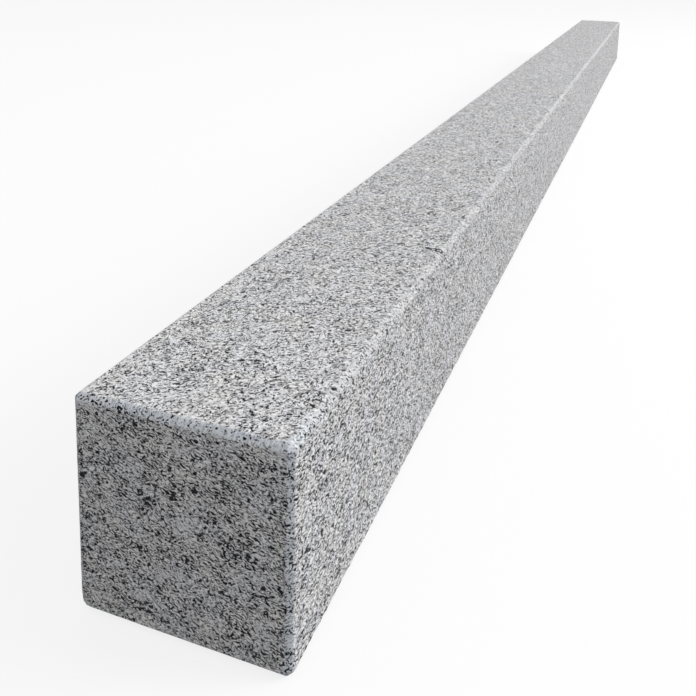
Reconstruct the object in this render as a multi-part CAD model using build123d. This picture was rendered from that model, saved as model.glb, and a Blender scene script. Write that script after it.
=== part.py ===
from build123d import *
import os

# A granite palisade: one bar of square section, sawn from the block, stippled and then chamfered all round.
# It lies on one long face, its length along Y, with the origin at the centre of that face.

# The sawn bar, in millimetres
section_width = 120.0
section_height = 120.0
bar_length = 2500.0

# The ground edges: a flat chamfer on each of the twelve, whose own arrises are eased by a rubbing stone
edge_chamfer = 3.5
arris_radius = 1.25


def sawn_bar():
    """The bar as it leaves the saw, with sharp edges."""
    with BuildPart() as bar:
        with BuildSketch(Plane.XZ.offset(-bar_length / 2)):
            with Locations((0, section_height / 2)):
                Rectangle(section_width, section_height)
        extrude(amount=bar_length)
    return bar.part


def ground_bar(bar):
    """The sawn bar with every edge chamfered, then the arrises of the chamfers eased."""
    chamfered = chamfer(bar.edges(), edge_chamfer)
    return fillet(chamfered.edges(), arris_radius)


os.makedirs("parts", exist_ok=True)
export_step(ground_bar(sawn_bar()), "parts/palisade.step")
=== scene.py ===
import math

import bpy
import numpy as np
from mathutils import Matrix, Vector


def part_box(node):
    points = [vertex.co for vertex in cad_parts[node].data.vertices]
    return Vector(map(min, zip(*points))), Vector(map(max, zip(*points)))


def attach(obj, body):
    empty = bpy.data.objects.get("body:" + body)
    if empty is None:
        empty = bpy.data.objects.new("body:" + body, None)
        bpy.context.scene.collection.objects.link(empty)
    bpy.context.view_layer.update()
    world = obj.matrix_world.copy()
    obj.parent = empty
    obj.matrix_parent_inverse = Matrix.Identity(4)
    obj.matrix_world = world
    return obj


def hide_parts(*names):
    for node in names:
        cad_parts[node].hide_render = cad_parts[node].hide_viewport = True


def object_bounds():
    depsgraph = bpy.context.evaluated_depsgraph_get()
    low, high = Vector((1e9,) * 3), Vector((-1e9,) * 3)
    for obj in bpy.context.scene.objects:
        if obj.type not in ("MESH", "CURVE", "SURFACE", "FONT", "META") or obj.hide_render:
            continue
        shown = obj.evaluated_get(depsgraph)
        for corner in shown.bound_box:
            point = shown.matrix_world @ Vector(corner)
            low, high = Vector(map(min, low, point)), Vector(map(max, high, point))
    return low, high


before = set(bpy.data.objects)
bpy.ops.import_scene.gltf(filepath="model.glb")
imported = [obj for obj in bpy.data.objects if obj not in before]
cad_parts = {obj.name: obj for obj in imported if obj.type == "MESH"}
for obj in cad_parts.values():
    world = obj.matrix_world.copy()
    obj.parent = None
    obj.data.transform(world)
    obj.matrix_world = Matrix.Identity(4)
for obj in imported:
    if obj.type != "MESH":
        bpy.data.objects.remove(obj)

cad_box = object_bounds()


# The palisade
# One bar of light grey granite, sawn square from the block. A bush hammer has stippled its faces, which
# leaves small pits and pale, bruised crystals. Its edges are then ground to a narrow chamfer, smoother and
# bluer.

stone_low, stone_high = (np.array(corner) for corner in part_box("palisade"))
width_axis, length_axis, height_axis = 0, 1, 2
edge_chamfer = 0.0035
eased_margin = 0.0009
ground_line_share = 0.65
stipple_pitch = 0.0039
stipple_depth = 0.0007
stipple_spread = (1.6, 2.2)
ground_depth = 0.00006
chip_depth = 0.00022
deepest_chip = 0.0011
knock_reach = 0.0086
shake_share = 0.3
stone_chance = np.random.default_rng(seed=31)


def mesh_lines(low, high):
    """Places of the mesh lines along one side: close together over each ground edge, even in between."""
    edge_lines = np.array([0.0, ground_line_share * edge_chamfer, edge_chamfer, edge_chamfer + eased_margin])
    first, last = low + edge_lines[-1], high - edge_lines[-1]
    cells = round((last - first) / stipple_pitch)
    between = np.linspace(first, last, cells + 1)[1:-1]
    return np.concatenate([low + edge_lines, between, (high - edge_lines)[::-1]])


def face_points(axis, at_high):
    """Line numbers, along X, Y and Z, of the mesh points on one of the bar's six faces."""
    across, along = (axis + 1) % 3, (axis + 2) % 3
    numbers = np.empty((line_counts[across], line_counts[along], 3), int)
    numbers[..., axis] = line_counts[axis] - 1 if at_high else 0
    numbers[..., across], numbers[..., along] = np.meshgrid(
        np.arange(line_counts[across]), np.arange(line_counts[along]), indexing="ij"
    )
    return numbers


def quads_of(points, at_high):
    """Four-sided cells of a face's grid of points, wound so that they face outwards."""
    a, b, c, d = points[:-1, :-1], points[1:, :-1], points[1:, 1:], points[:-1, 1:]
    corners = (a, b, c, d) if at_high else (a, d, c, b)
    return np.stack(corners, axis=-1).reshape(-1, 4)


def ground_edges(sharp):
    """Points of the sharp bar, moved onto the chamfers, the flats of the corners and the knocked corner."""
    depth = np.minimum(sharp - stone_low, stone_high - sharp)
    near = 1 - np.clip(depth / edge_chamfer, 0, 1)
    beside, behind = np.roll(near, 1, axis=1), np.roll(near, 2, axis=1)
    # Each face gives way by half of the chamfer along an edge, and by two thirds of it at a corner.
    inward = edge_chamfer * near * ((beside + behind) / 2 - beside * behind / 3)
    ground = sharp + np.where(sharp - stone_low < stone_high - sharp, inward, -inward)
    # The knocked corner has come off along a slanting plane.
    knocked = np.maximum(knock_reach - (ground - stone_low).sum(axis=1), 0) / 3
    return ground + knocked[:, None]


# The six faces share the points along their edges, so the mesh is closed.
side_lines = [mesh_lines(low, high) for low, high in zip(stone_low, stone_high)]
line_counts = [len(lines) for lines in side_lines]
faces = [(axis, at_high) for axis in (width_axis, length_axis, height_axis) for at_high in (False, True)]
grids = [face_points(axis, at_high) for axis, at_high in faces]
grid_keys = [np.ravel_multi_index(np.moveaxis(grid, -1, 0), line_counts) for grid in grids]
point_keys = np.unique(np.concatenate([keys.ravel() for keys in grid_keys]))
point_lines = np.unravel_index(point_keys, line_counts)
sharp_points = np.stack([lines[numbers] for lines, numbers in zip(side_lines, point_lines)], axis=1)
quads = [
    quads_of(np.searchsorted(point_keys, keys), at_high)
    for keys, (axis, at_high) in zip(grid_keys, faces)
]
all_quads = np.concatenate(quads)

stone_mesh = bpy.data.meshes.new("palisade_stone")
stone_mesh.from_pydata(ground_edges(sharp_points).tolist(), [], all_quads.tolist())
stone_mesh.update()

# The stippled and ground relief: each point goes in from the sawn face, deep on a face and hardly on an
# edge. Along the arris between them the stone has chipped. On a face the points are also shaken off their
# lines.
edge_depths = np.minimum(sharp_points - stone_low, stone_high - sharp_points)
edge_distance = np.sort(edge_depths, axis=1)[:, 1]
on_face = edge_distance > edge_chamfer + eased_margin / 2
on_arris = np.abs(edge_distance - edge_chamfer) < eased_margin / 2
point_count = len(sharp_points)
relief = np.where(on_face, stipple_depth * stone_chance.beta(*stipple_spread, point_count), 0)
relief += np.where(on_face, 0, ground_depth * stone_chance.random(point_count))
relief += np.where(on_arris, np.minimum(stone_chance.exponential(chip_depth, point_count), deepest_chip), 0)
outward = np.empty(point_count * 3, np.float32)
stone_mesh.vertex_normals.foreach_get("vector", outward)
outward = outward.reshape(-1, 3)
shake = stone_chance.uniform(-shake_share, shake_share, (point_count, 3)) * stipple_pitch
shake -= outward * (shake * outward).sum(axis=1, keepdims=True)
inner_face = edge_distance > edge_chamfer + eased_margin + stipple_pitch / 2
stone_points = ground_edges(sharp_points) - outward * relief[:, None] + shake * inner_face[:, None]
stone_mesh.vertices.foreach_set("co", stone_points.astype(np.float32).ravel())
stone_mesh.polygons.foreach_set("use_smooth", np.ones(len(all_quads), bool))

# For the stone's finish: how far each point is from the nearest edge, on a line that rounds the corners of
# a face, how far it is along that edge, and whether the edge is upright.
band_corner_radius = 0.009
corner_depths = np.maximum(band_corner_radius - np.sort(edge_depths, axis=1)[:, 1:], 0)
band_distance = band_corner_radius - np.hypot(corner_depths[:, 0], corner_depths[:, 1])
edge_axis = edge_depths.argmax(axis=1)
along_edge = np.take_along_axis(sharp_points, edge_axis[:, None], axis=1)[:, 0]
edge_layers = {
    "edge_distance": band_distance,
    "edge_run": along_edge,
    "upright_edge": edge_axis == height_axis,
}
for layer_name, layer_values in edge_layers.items():
    layer = stone_mesh.attributes.new(layer_name, "FLOAT", "POINT")
    layer.data.foreach_set("value", layer_values.astype(np.float32))

# The stone's skin laid flat, for baking its finish: the halves of the four long faces as strips side by
# side, and the two ends, enlarged, in the room beside them.
skin_gap = 0.004
strip_count = 8
bar_width = stone_high[width_axis] - stone_low[width_axis]
half_length = (stone_high[length_axis] - stone_low[length_axis]) / 2
strip_step = bar_width + skin_gap
skin_side = half_length + 2 * skin_gap
ends_start = skin_gap + strip_count * strip_step
end_side = skin_side - ends_start - skin_gap
end_enlarged = end_side / bar_width
skin_places = []
strips_laid, ends_laid = 0, 0
for (axis, at_high), face_quads in zip(faces, quads):
    corner_places = sharp_points[face_quads] - stone_low
    if axis == length_axis:
        ends_base = skin_gap + ends_laid * (end_side + skin_gap)
        laid = corner_places[..., [width_axis, height_axis]] * end_enlarged + (ends_start, ends_base)
        ends_laid += 1
    else:
        in_far_half = corner_places[..., length_axis].mean(axis=1) > half_length
        strip_base = skin_gap + (strips_laid + in_far_half) * strip_step
        across_axis = height_axis if axis == width_axis else width_axis
        laid = corner_places[..., [across_axis, length_axis]]
        laid[..., 0] += strip_base[:, None]
        laid[..., 1] += skin_gap - in_far_half[:, None] * half_length
        strips_laid += 2
    skin_places.append(laid)
skin_layer = stone_mesh.uv_layers.new(name="OFBake")
skin_layer.uv.foreach_set("vector", (np.concatenate(skin_places) / skin_side).astype(np.float32).ravel())
stone_mesh.update()

stone = bpy.data.objects.new("palisade_stone", stone_mesh)
bpy.context.scene.collection.objects.link(stone)

granite = bpy.data.materials.new("stippled_granite")
granite.use_nodes = True
granite_nodes = granite.node_tree.nodes
granite_links = granite.node_tree.links


def granite_node(kind, inputs, **options):
    """Adds a node to the granite, sets its options, and links or fills its inputs."""
    made = granite_nodes.new("ShaderNode" + kind)
    for name, value in options.items():
        setattr(made, name, value)
    for name, value in inputs.items():
        if isinstance(value, bpy.types.NodeSocket):
            granite_links.new(value, made.inputs[name])
        else:
            made.inputs[name].default_value = value
    return made


def share_between(value, none, whole):
    """0 where the value is at none or short of it, 1 where it is at whole or past it, smooth in between."""
    inputs = {"Value": value, "From Min": none, "From Max": whole}
    return granite_node("MapRange", inputs, interpolation_type="SMOOTHSTEP").outputs["Result"]


def calculated(operation, *numbers):
    """One sum on these numbers."""
    return granite_node("Math", dict(enumerate(numbers)), operation=operation).outputs[0]


def part_way(share, first, second):
    """The first number, with a share of the second."""
    return granite_node("Mix", {0: share, 2: first, 3: second}, data_type="FLOAT").outputs[0]


def mixed(share, first, second, blend_type="MIX"):
    """The first colour, with a share of the second mixed in, or else multiplied in."""
    inputs = {"Fac": share, "Color1": first, "Color2": second}
    return granite_node("MixRGB", inputs, blend_type=blend_type).outputs["Color"]


def grain_noise(place, size, detail, roughness):
    """Cloudy noise with lumps of about this size, in metres, as a number and as a colour."""
    inputs = {"Vector": place, "Scale": 1 / size, "Detail": detail, "Roughness": roughness}
    return granite_node("TexNoise", inputs).outputs


def edge_layer(layer_name):
    """One of the mesh's own layers on its edges."""
    return granite_node("Attribute", {}, attribute_name=layer_name).outputs["Fac"]


# The grain runs slantwise through the bar, as it was sawn from the block. The mica is drawn out most along
# it.
grain_slant = (math.radians(-19), math.radians(7), math.radians(-53))
crystal_stretch = (0.88, 1.25, 0.60)
mica_stretch = (0.92, 2.10, 0.52)
stone_place = granite_node("TexCoord", {}).outputs["Object"]


def along_grain(place, stretch):
    """Places in the stone, drawn out along the grain."""
    inputs = {"Vector": place, "Rotation": grain_slant, "Scale": stretch}
    return granite_node("Mapping", inputs, vector_type="TEXTURE").outputs["Vector"]


def moved(place, drift, reach):
    """The same places, each moved a little with the drift, by up to this reach."""
    inputs = {0: drift, 1: (reach, reach, reach), 2: place}
    return granite_node("VectorMath", inputs, operation="MULTIPLY_ADD").outputs[0]


# A slow drift bends the strokes of mica, and a fine one makes the rims of the crystals jagged.
bend_size, bend_reach = 0.0036, 0.0032
wander_size, wander_reach = 0.0013, 0.0005
bend = grain_noise(stone_place, size=bend_size, detail=1.0, roughness=0.5)["Color"]
bent_place = moved(stone_place, bend, bend_reach)
crystal_grain = along_grain(stone_place, crystal_stretch)
mica_grain = along_grain(bent_place, mica_stretch)
wander = grain_noise(crystal_grain, size=wander_size, detail=2.0, roughness=0.6)["Color"]

# Feldspar, a mosaic of interlocked pale crystals, each with its own grey.
crystal_size = 0.0012
crystal_greys = [
    (0.00, (0.520, 0.520, 0.532, 1)),
    (0.35, (0.718, 0.717, 0.727, 1)),
    (0.65, (0.810, 0.809, 0.816, 1)),
    (0.90, (0.915, 0.915, 0.916, 1)),
]
crystal_place = moved(crystal_grain, wander, wander_reach)
crystals = granite_node("TexVoronoi", {"Vector": crystal_place, "Scale": 1 / crystal_size})
crystal_chance = granite_node("SeparateColor", {"Color": crystals.outputs["Color"]}).outputs["Red"]
crystal_ramp = granite_node("ValToRGB", {"Fac": crystal_chance})
grey_stops = crystal_ramp.color_ramp.elements
for chance, grey in crystal_greys[1:-1]:
    grey_stops.new(chance)
for stop, (chance, grey) in zip(grey_stops, crystal_greys):
    stop.position = chance
    stop.color = grey

# Where a point of the stone is: on an end, on a side, on a ground edge, or in the margin beside one. The
# line of a ground edge wanders a little.
face_fade, face_whole = 0.0030, 0.0015
edge_wander_size, edge_wander_reach = 0.0035, 0.0050
ground_fade, ground_whole = 0.0008, 0.0014
margin_fade, margin_whole = 0.0045, 0.0010
half_width, bar_end = stone_high[width_axis], stone_high[length_axis]
stone_axes = granite_node("SeparateXYZ", {"Vector": stone_place}).outputs
from_middle = calculated("ABSOLUTE", stone_axes["Y"])
from_centre = calculated("ABSOLUTE", stone_axes["X"])
end_face = share_between(from_middle, bar_end - face_fade, bar_end - face_whole)
side_face = share_between(from_centre, half_width - face_fade, half_width - face_whole)
edge_wander = grain_noise(stone_place, size=edge_wander_size, detail=2.0, roughness=0.7)["Fac"]
edge_shift = calculated("MULTIPLY_ADD", edge_wander, edge_wander_reach, -edge_wander_reach / 2)
ragged_distance = calculated("ADD", edge_layer("edge_distance"), edge_shift)
ground = share_between(ragged_distance, edge_chamfer + ground_fade, edge_chamfer - ground_whole)
margin = share_between(ragged_distance, edge_chamfer + margin_fade, edge_chamfer - margin_whole)
upright_edge = edge_layer("upright_edge")

# Quartz, in soft patches between the feldspar that gather in clusters. It is smoky on the long faces and
# pale on the ends. The clusters are stronger on the sides than on the top, and strongest on the ends.
quartz_size, cluster_size = 0.0023, 0.0090
cluster_reach, side_cluster_gain, end_cluster_gain = 0.175, 0.30, 0.97
quartz_cluster_share = 0.6
quartz_rim = (0.525, 0.615)
smoky_quartz, pale_quartz = (0.225, 0.225, 0.242, 1), (0.690, 0.690, 0.700, 1)
quartz_place = moved(mica_grain, wander, wander_reach)
quartz_lumps = grain_noise(quartz_place, size=quartz_size, detail=2.5, roughness=0.6)["Color"]
quartz_field = granite_node("SeparateColor", {"Color": quartz_lumps}).outputs["Green"]
clusters = grain_noise(mica_grain, size=cluster_size, detail=2.0, roughness=0.5)["Fac"]
cluster_level = calculated("MULTIPLY_ADD", clusters, cluster_reach, -cluster_reach / 2)
cluster_strength = calculated("MULTIPLY_ADD", side_face, side_cluster_gain, 1.0)
cluster_strength = calculated("MULTIPLY_ADD", end_face, end_cluster_gain, cluster_strength)
cluster_level = calculated("MULTIPLY", cluster_level, cluster_strength)
quartz_clusters = calculated("MULTIPLY", cluster_level, quartz_cluster_share)
clustered_quartz = calculated("ADD", quartz_field, quartz_clusters)
quartz = share_between(clustered_quartz, *quartz_rim)
quartz_colour = mixed(end_face, smoky_quartz, pale_quartz)
matrix = mixed(quartz, crystal_ramp.outputs["Color"], quartz_colour)

# Biotite, the black mica: thin flecks that lie along the grain, in loose strings and clusters about the
# quartz. They are larger on the sides, and rounder on the ground edges.
fleck_size, side_fleck_size, edge_fleck_size = 0.0012, 0.0016, 0.0012
fleck_wander_reach = 0.00025
side_stretch = (1.40, 2.10, 0.52)
quartz_gain, feldspar_loss = 0.07, 0.02


def fleck_noise(place, size):
    """The lumps that flecks of this size are cut from."""
    return grain_noise(place, size=size, detail=0.8, roughness=0.5)["Fac"]


side_grain = along_grain(bent_place, side_stretch)
face_lumps = fleck_noise(moved(mica_grain, wander, fleck_wander_reach), fleck_size)
side_lumps = fleck_noise(moved(side_grain, wander, fleck_wander_reach), side_fleck_size)
edge_lumps = fleck_noise(bent_place, edge_fleck_size)
fleck_lumps = part_way(ground, part_way(side_face, face_lumps, side_lumps), edge_lumps)
quartz_level = calculated("MULTIPLY_ADD", quartz, quartz_gain, -feldspar_loss)
fleck_field = calculated("ADD", calculated("ADD", fleck_lumps, cluster_level), quartz_level)

# Here and there the mica has grown into a knot, larger than a fleck.
knot_spacing, knot_radius, knot_core_share = 0.0300, 0.0017, 0.8
knot_wander_reach = 0.00125
knot_place = moved(crystal_grain, wander, knot_wander_reach)
knot_cells = granite_node("TexVoronoi", {"Vector": knot_place, "Scale": 1 / knot_spacing})
knot_distance = calculated("MULTIPLY", knot_cells.outputs["Distance"], knot_spacing)
knots = share_between(knot_distance, knot_radius, knot_core_share * knot_radius)

# Five knots stand out on this bar: two on its head end, and a string of three on its top, by the right
# edge. Three of them have a pale centre, a painted glint. Each has its place, its radius and the radius of
# its painted glint, which is too small to see where there is none.
head, top = stone_low[length_axis], stone_high[height_axis]
no_glint, glint_rim_share = 0.0001, 1.4
edge_knot_drop = 0.0003
standing_knots = [
    ((-0.0545, head, 0.0770), 0.0018, no_glint),
    ((-0.0206, head, 0.0768), 0.0020, 0.0007),
    ((0.0467, -0.9820, top), 0.0026, no_glint),
    ((0.0512, -0.9830, top), 0.0032, 0.0011),
    ((0.0558, -0.9840, top - edge_knot_drop), 0.0036, 0.0014),
]
for centre, radius, glint_radius in standing_knots:
    from_knot = granite_node("VectorMath", {0: stone_place, 1: centre}, operation="DISTANCE")
    distance = from_knot.outputs["Value"]
    inside = share_between(distance, radius, knot_core_share * radius)
    # The pale centre left out of the knot is a painted glint.
    outside_glint = share_between(distance, glint_radius, glint_rim_share * glint_radius)
    knots = calculated("MAXIMUM", knots, calculated("MULTIPLY", inside, outside_glint))

# How much of the mica is lost from sight, zone by zone. Less of it shows on a ground edge and in its margin,
# and least on the level edges of the ends. More shows on the sides and the ends, and most on the ends beside
# an upright edge.
end_edge_fade, end_edge_whole = 0.0070, 0.0030
end_edge = share_between(from_middle, bar_end - end_edge_fade, bar_end - end_edge_whole)
level_end_edge = calculated("MULTIPLY", end_edge, calculated("SUBTRACT", 1.0, upright_edge))
beside_upright = calculated("MULTIPLY", calculated("SUBTRACT", margin, ground), upright_edge)
mica_losses = [
    (ground, 0.022),
    (margin, 0.016),
    (end_face, -0.036),
    (side_face, -0.020),
    (calculated("MULTIPLY", beside_upright, end_face), -0.060),
    (calculated("MULTIPLY", ground, level_end_edge), 0.022),
]
mica_loss = 0.0
for zone, zone_loss in mica_losses:
    mica_loss = calculated("MULTIPLY_ADD", zone, zone_loss, mica_loss)

# The flecks that show, with small specks between them. The hammer bruises the feldspar round each fleck,
# which turns it white.
fleck_rim, bruise_rim, speck_rim = (0.562, 0.590), (0.470, 0.530), (0.615, 0.640)
bruised_white, bruise_share = (0.880, 0.880, 0.880, 1), 0.45
speck_size, speck_share = 0.0011, 0.85
shown_field = calculated("SUBTRACT", fleck_field, mica_loss)
flecks = share_between(shown_field, *fleck_rim)
bruises = share_between(shown_field, *bruise_rim)
bruised_matrix = mixed(calculated("MULTIPLY", bruises, bruise_share), matrix, bruised_white)
speck_lumps = grain_noise(mica_grain, size=speck_size, detail=1.0, roughness=0.6)["Fac"]
specks = share_between(calculated("SUBTRACT", speck_lumps, mica_loss), *speck_rim)
dark_minerals = calculated("MAXIMUM", flecks, calculated("MULTIPLY", specks, speck_share))
dark_minerals = calculated("MAXIMUM", dark_minerals, knots)

# Broad, faint patches of warmer and of bluer stone.
patch_size, patch_rim = 0.0180, (0.38, 0.62)
warm_tint, blue_tint = (1.005, 0.998, 0.987, 1), (0.990, 0.994, 1.016, 1)
patch_lumps = grain_noise(stone_place, size=patch_size, detail=2.0, roughness=0.5)["Fac"]
patch_tint = mixed(share_between(patch_lumps, *patch_rim), warm_tint, blue_tint)
tinted_matrix = mixed(1.0, bruised_matrix, patch_tint, "MULTIPLY")

# The ground edge: a more even grey than the stippled face beside it, bluer towards the ends, with the fine
# marks that the wheel leaves across it.
wheel_pitch = 0.0011
faint_mark, strong_mark = 0.3, 0.7
dark_tone, pale_tone = 0.82, 1.18
blue_fade, blue_whole = 0.050, 0.010
ground_grey, ground_blue = (0.540, 0.542, 0.554, 1), (0.540, 0.594, 0.638, 1)
level_end_blue, upright_end_blue = (0.545, 0.597, 0.676, 1), (0.380, 0.430, 0.504, 1)
ground_share = 0.55
wheel_inputs = {"W": edge_layer("edge_run"), "Scale": 1 / wheel_pitch, "Detail": 1.0}
wheel_marks = granite_node("TexNoise", wheel_inputs, noise_dimensions="1D").outputs["Fac"]
tone_inputs = {
    "Value": wheel_marks,
    "From Min": faint_mark,
    "From Max": strong_mark,
    "To Min": dark_tone,
    "To Max": pale_tone,
}
wheel_tone = granite_node("MapRange", tone_inputs).outputs["Result"]
end_zone = share_between(from_middle, bar_end - blue_fade, bar_end - blue_whole)
long_edge_tone = mixed(end_zone, ground_grey, ground_blue)
end_edge_tone = mixed(upright_edge, level_end_blue, upright_end_blue)
ground_tone = mixed(end_edge, long_edge_tone, end_edge_tone)
ground_matrix = mixed(1.0, mixed(ground_share, tinted_matrix, ground_tone), wheel_tone, "MULTIPLY")
stone_matrix = mixed(ground, tinted_matrix, ground_matrix)

# The mica is black. On the top and the underside it is painted slightly greyer, a painted sheen that stands
# for the lamp's light veiling the mica on the lit top.
sheen_grey_mica, black_mica = (0.012, 0.012, 0.014, 1), (0.007, 0.007, 0.009, 1)
# The greyer mica on the top and the underside is a painted sheen.
mica_colour = mixed(calculated("MAXIMUM", end_face, side_face), sheen_grey_mica, black_mica)
stone_colour = mixed(dark_minerals, stone_matrix, mica_colour)

# Finer pits than the mesh holds, and on the ground edge the wheel's marks instead.
pit_size, pit_depth = 0.0013, 0.0012
face_pits, edge_pits = 0.20, 0.07
pits = grain_noise(stone_place, size=pit_size, detail=3.0, roughness=0.65)["Fac"]
surface_height = part_way(ground, pits, wheel_marks)
pit_strength = part_way(ground, face_pits, edge_pits)
stippling = granite_node("Bump", {"Strength": pit_strength, "Distance": pit_depth, "Height": surface_height})

# Bruised feldspar is dull, the ground edge less so, and mica has a sheen.
bruised_roughness, ground_roughness, mica_roughness = 0.80, 0.62, 0.55
stone_specular = 0.12
matrix_roughness = part_way(ground, bruised_roughness, ground_roughness)
stone_roughness = part_way(dark_minerals, matrix_roughness, mica_roughness)

granite_shader = granite_nodes["Principled BSDF"]
granite_links.new(stone_colour, granite_shader.inputs["Base Color"])
granite_links.new(stippling.outputs["Normal"], granite_shader.inputs["Normal"])
granite_links.new(stone_roughness, granite_shader.inputs["Roughness"])
granite_shader.inputs["Specular IOR Level"].default_value = stone_specular
stone_mesh.materials.append(granite)

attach(stone, "root")
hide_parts("palisade")


# The floor
# A plain white studio floor that the bar lies on. It shows white, with the bar's soft shadow on it, and it
# throws less light on the bar than it shows, so that the shaded end of the bar stays dark.

floor_reach = 40.0
floor_drop = 0.0002
floor_white, floor_thrown = (1.0, 1.0, 1.0, 1), (0.25, 0.25, 0.25, 1)
floor_glow_share = 0.8


def seen_share(nodes, links):
    """1 for what is seen straight, in a shine or through glass, and 0 for light thrown on other things."""
    rays = nodes.new("ShaderNodeLightPath")
    seen = rays.outputs["Is Camera Ray"]
    for kind in ("Is Glossy Ray", "Is Transmission Ray"):
        either = nodes.new("ShaderNodeMath")
        either.operation = "MAXIMUM"
        links.new(seen, either.inputs[0])
        links.new(rays.outputs[kind], either.inputs[1])
        seen = either.outputs[0]
    return seen


floor_corners = [(-1, -1), (1, -1), (1, 1), (-1, 1)]
floor_points = [(x * floor_reach, y * floor_reach, cad_box[0].z - floor_drop) for x, y in floor_corners]
floor_mesh = bpy.data.meshes.new("floor")
floor_mesh.from_pydata(floor_points, [], [(0, 1, 2, 3)])
floor = bpy.data.objects.new("floor", floor_mesh)
bpy.context.scene.collection.objects.link(floor)

floor_paint = bpy.data.materials.new("floor_paint")
floor_paint.use_nodes = True
floor_nodes = floor_paint.node_tree.nodes
floor_links = floor_paint.node_tree.links
floor_seen = seen_share(floor_nodes, floor_links)
floor_tone = floor_nodes.new("ShaderNodeMixRGB")
floor_tone.inputs["Color1"].default_value = floor_thrown
floor_tone.inputs["Color2"].default_value = floor_white
floor_links.new(floor_seen, floor_tone.inputs["Fac"])
floor_shader = floor_nodes["Principled BSDF"]
floor_shader.inputs["Roughness"].default_value = 1.0
floor_shader.inputs["Specular IOR Level"].default_value = 0.0
floor_links.new(floor_tone.outputs["Color"], floor_shader.inputs["Base Color"])
floor_glow = floor_nodes.new("ShaderNodeEmission")
floor_glow.inputs["Color"].default_value = floor_white
glow_level = floor_nodes.new("ShaderNodeMapRange")
glow_level.inputs["To Max"].default_value = floor_glow_share
floor_links.new(floor_seen, glow_level.inputs["Value"])
floor_mix = floor_nodes.new("ShaderNodeMixShader")
floor_links.new(glow_level.outputs["Result"], floor_mix.inputs[0])
floor_links.new(floor_shader.outputs["BSDF"], floor_mix.inputs[1])
floor_links.new(floor_glow.outputs["Emission"], floor_mix.inputs[2])
floor_links.new(floor_mix.outputs["Shader"], floor_nodes["Material Output"].inputs["Surface"])
floor_mesh.materials.append(floor_paint)


# The studio light
# A wide round lamp hangs above and to the right of the bar, a little past its middle, so that the top and
# the right side are bright and the near end is in shade. A pale room all round fills the shadows.

room_white = (1.0, 1.0, 1.0, 1)
room_fill, room_seen = 0.62, 1.0
lamp_place, lamp_aim = np.array([3.4, 0.45, 2.15]), np.array([0.0, 0.2, 0.06])
lamp_size, lamp_power = 2.4, 132.0

room = bpy.data.worlds.new("room")
bpy.context.scene.world = room
room.use_nodes = True
room_nodes = room.node_tree.nodes
room_links = room.node_tree.links
room_level = room_nodes.new("ShaderNodeMapRange")
room_level.inputs["To Min"].default_value = room_fill
room_level.inputs["To Max"].default_value = room_seen
room_links.new(seen_share(room_nodes, room_links), room_level.inputs["Value"])
room_links.new(room_level.outputs["Result"], room_nodes["Background"].inputs["Strength"])
room_nodes["Background"].inputs["Color"].default_value = room_white

lamp_light = bpy.data.lights.new("key_lamp", "AREA")
lamp_light.shape = "DISK"
lamp_light.size = lamp_size
lamp_light.energy = lamp_power
lamp = bpy.data.objects.new("key_lamp", lamp_light)
bpy.context.scene.collection.objects.link(lamp)
lamp_way = (lamp_place - lamp_aim) / np.linalg.norm(lamp_place - lamp_aim)
lamp.location = lamp_place
lamp.rotation_euler = (0, math.acos(lamp_way[2]), math.atan2(lamp_way[1], lamp_way[0]))


# The camera
# It stands near the head end of the bar, to its right and above it, and looks along the bar. The picture is
# cut from the lower part of a wider view, so the lens is shifted down.

picture_side = 696
focal_pixels = 840.1
centre_row = 94.0
sensor_width = 36.0
nearest_seen = 0.01
camera_place = (0.1973, -1.5576, 0.3380)
camera_turn, camera_tilt, camera_roll = (math.radians(angle) for angle in (20.61, 9.99, 1.32))

camera_data = bpy.data.cameras.new("camera")
camera_data.sensor_width = sensor_width
camera_data.lens = sensor_width * focal_pixels / picture_side
camera_data.shift_y = (centre_row - picture_side / 2) / picture_side
camera_data.clip_start = nearest_seen
camera = bpy.data.objects.new("camera", camera_data)
bpy.context.scene.collection.objects.link(camera)
camera.matrix_world = (
    Matrix.Translation(camera_place)
    @ Matrix.Rotation(camera_turn, 4, "Z")
    @ Matrix.Rotation(math.pi / 2 - camera_tilt, 4, "X")
    @ Matrix.Rotation(camera_roll, 4, "Z")
)
bpy.context.scene.camera = camera
bpy.context.scene.view_settings.view_transform = "Standard"
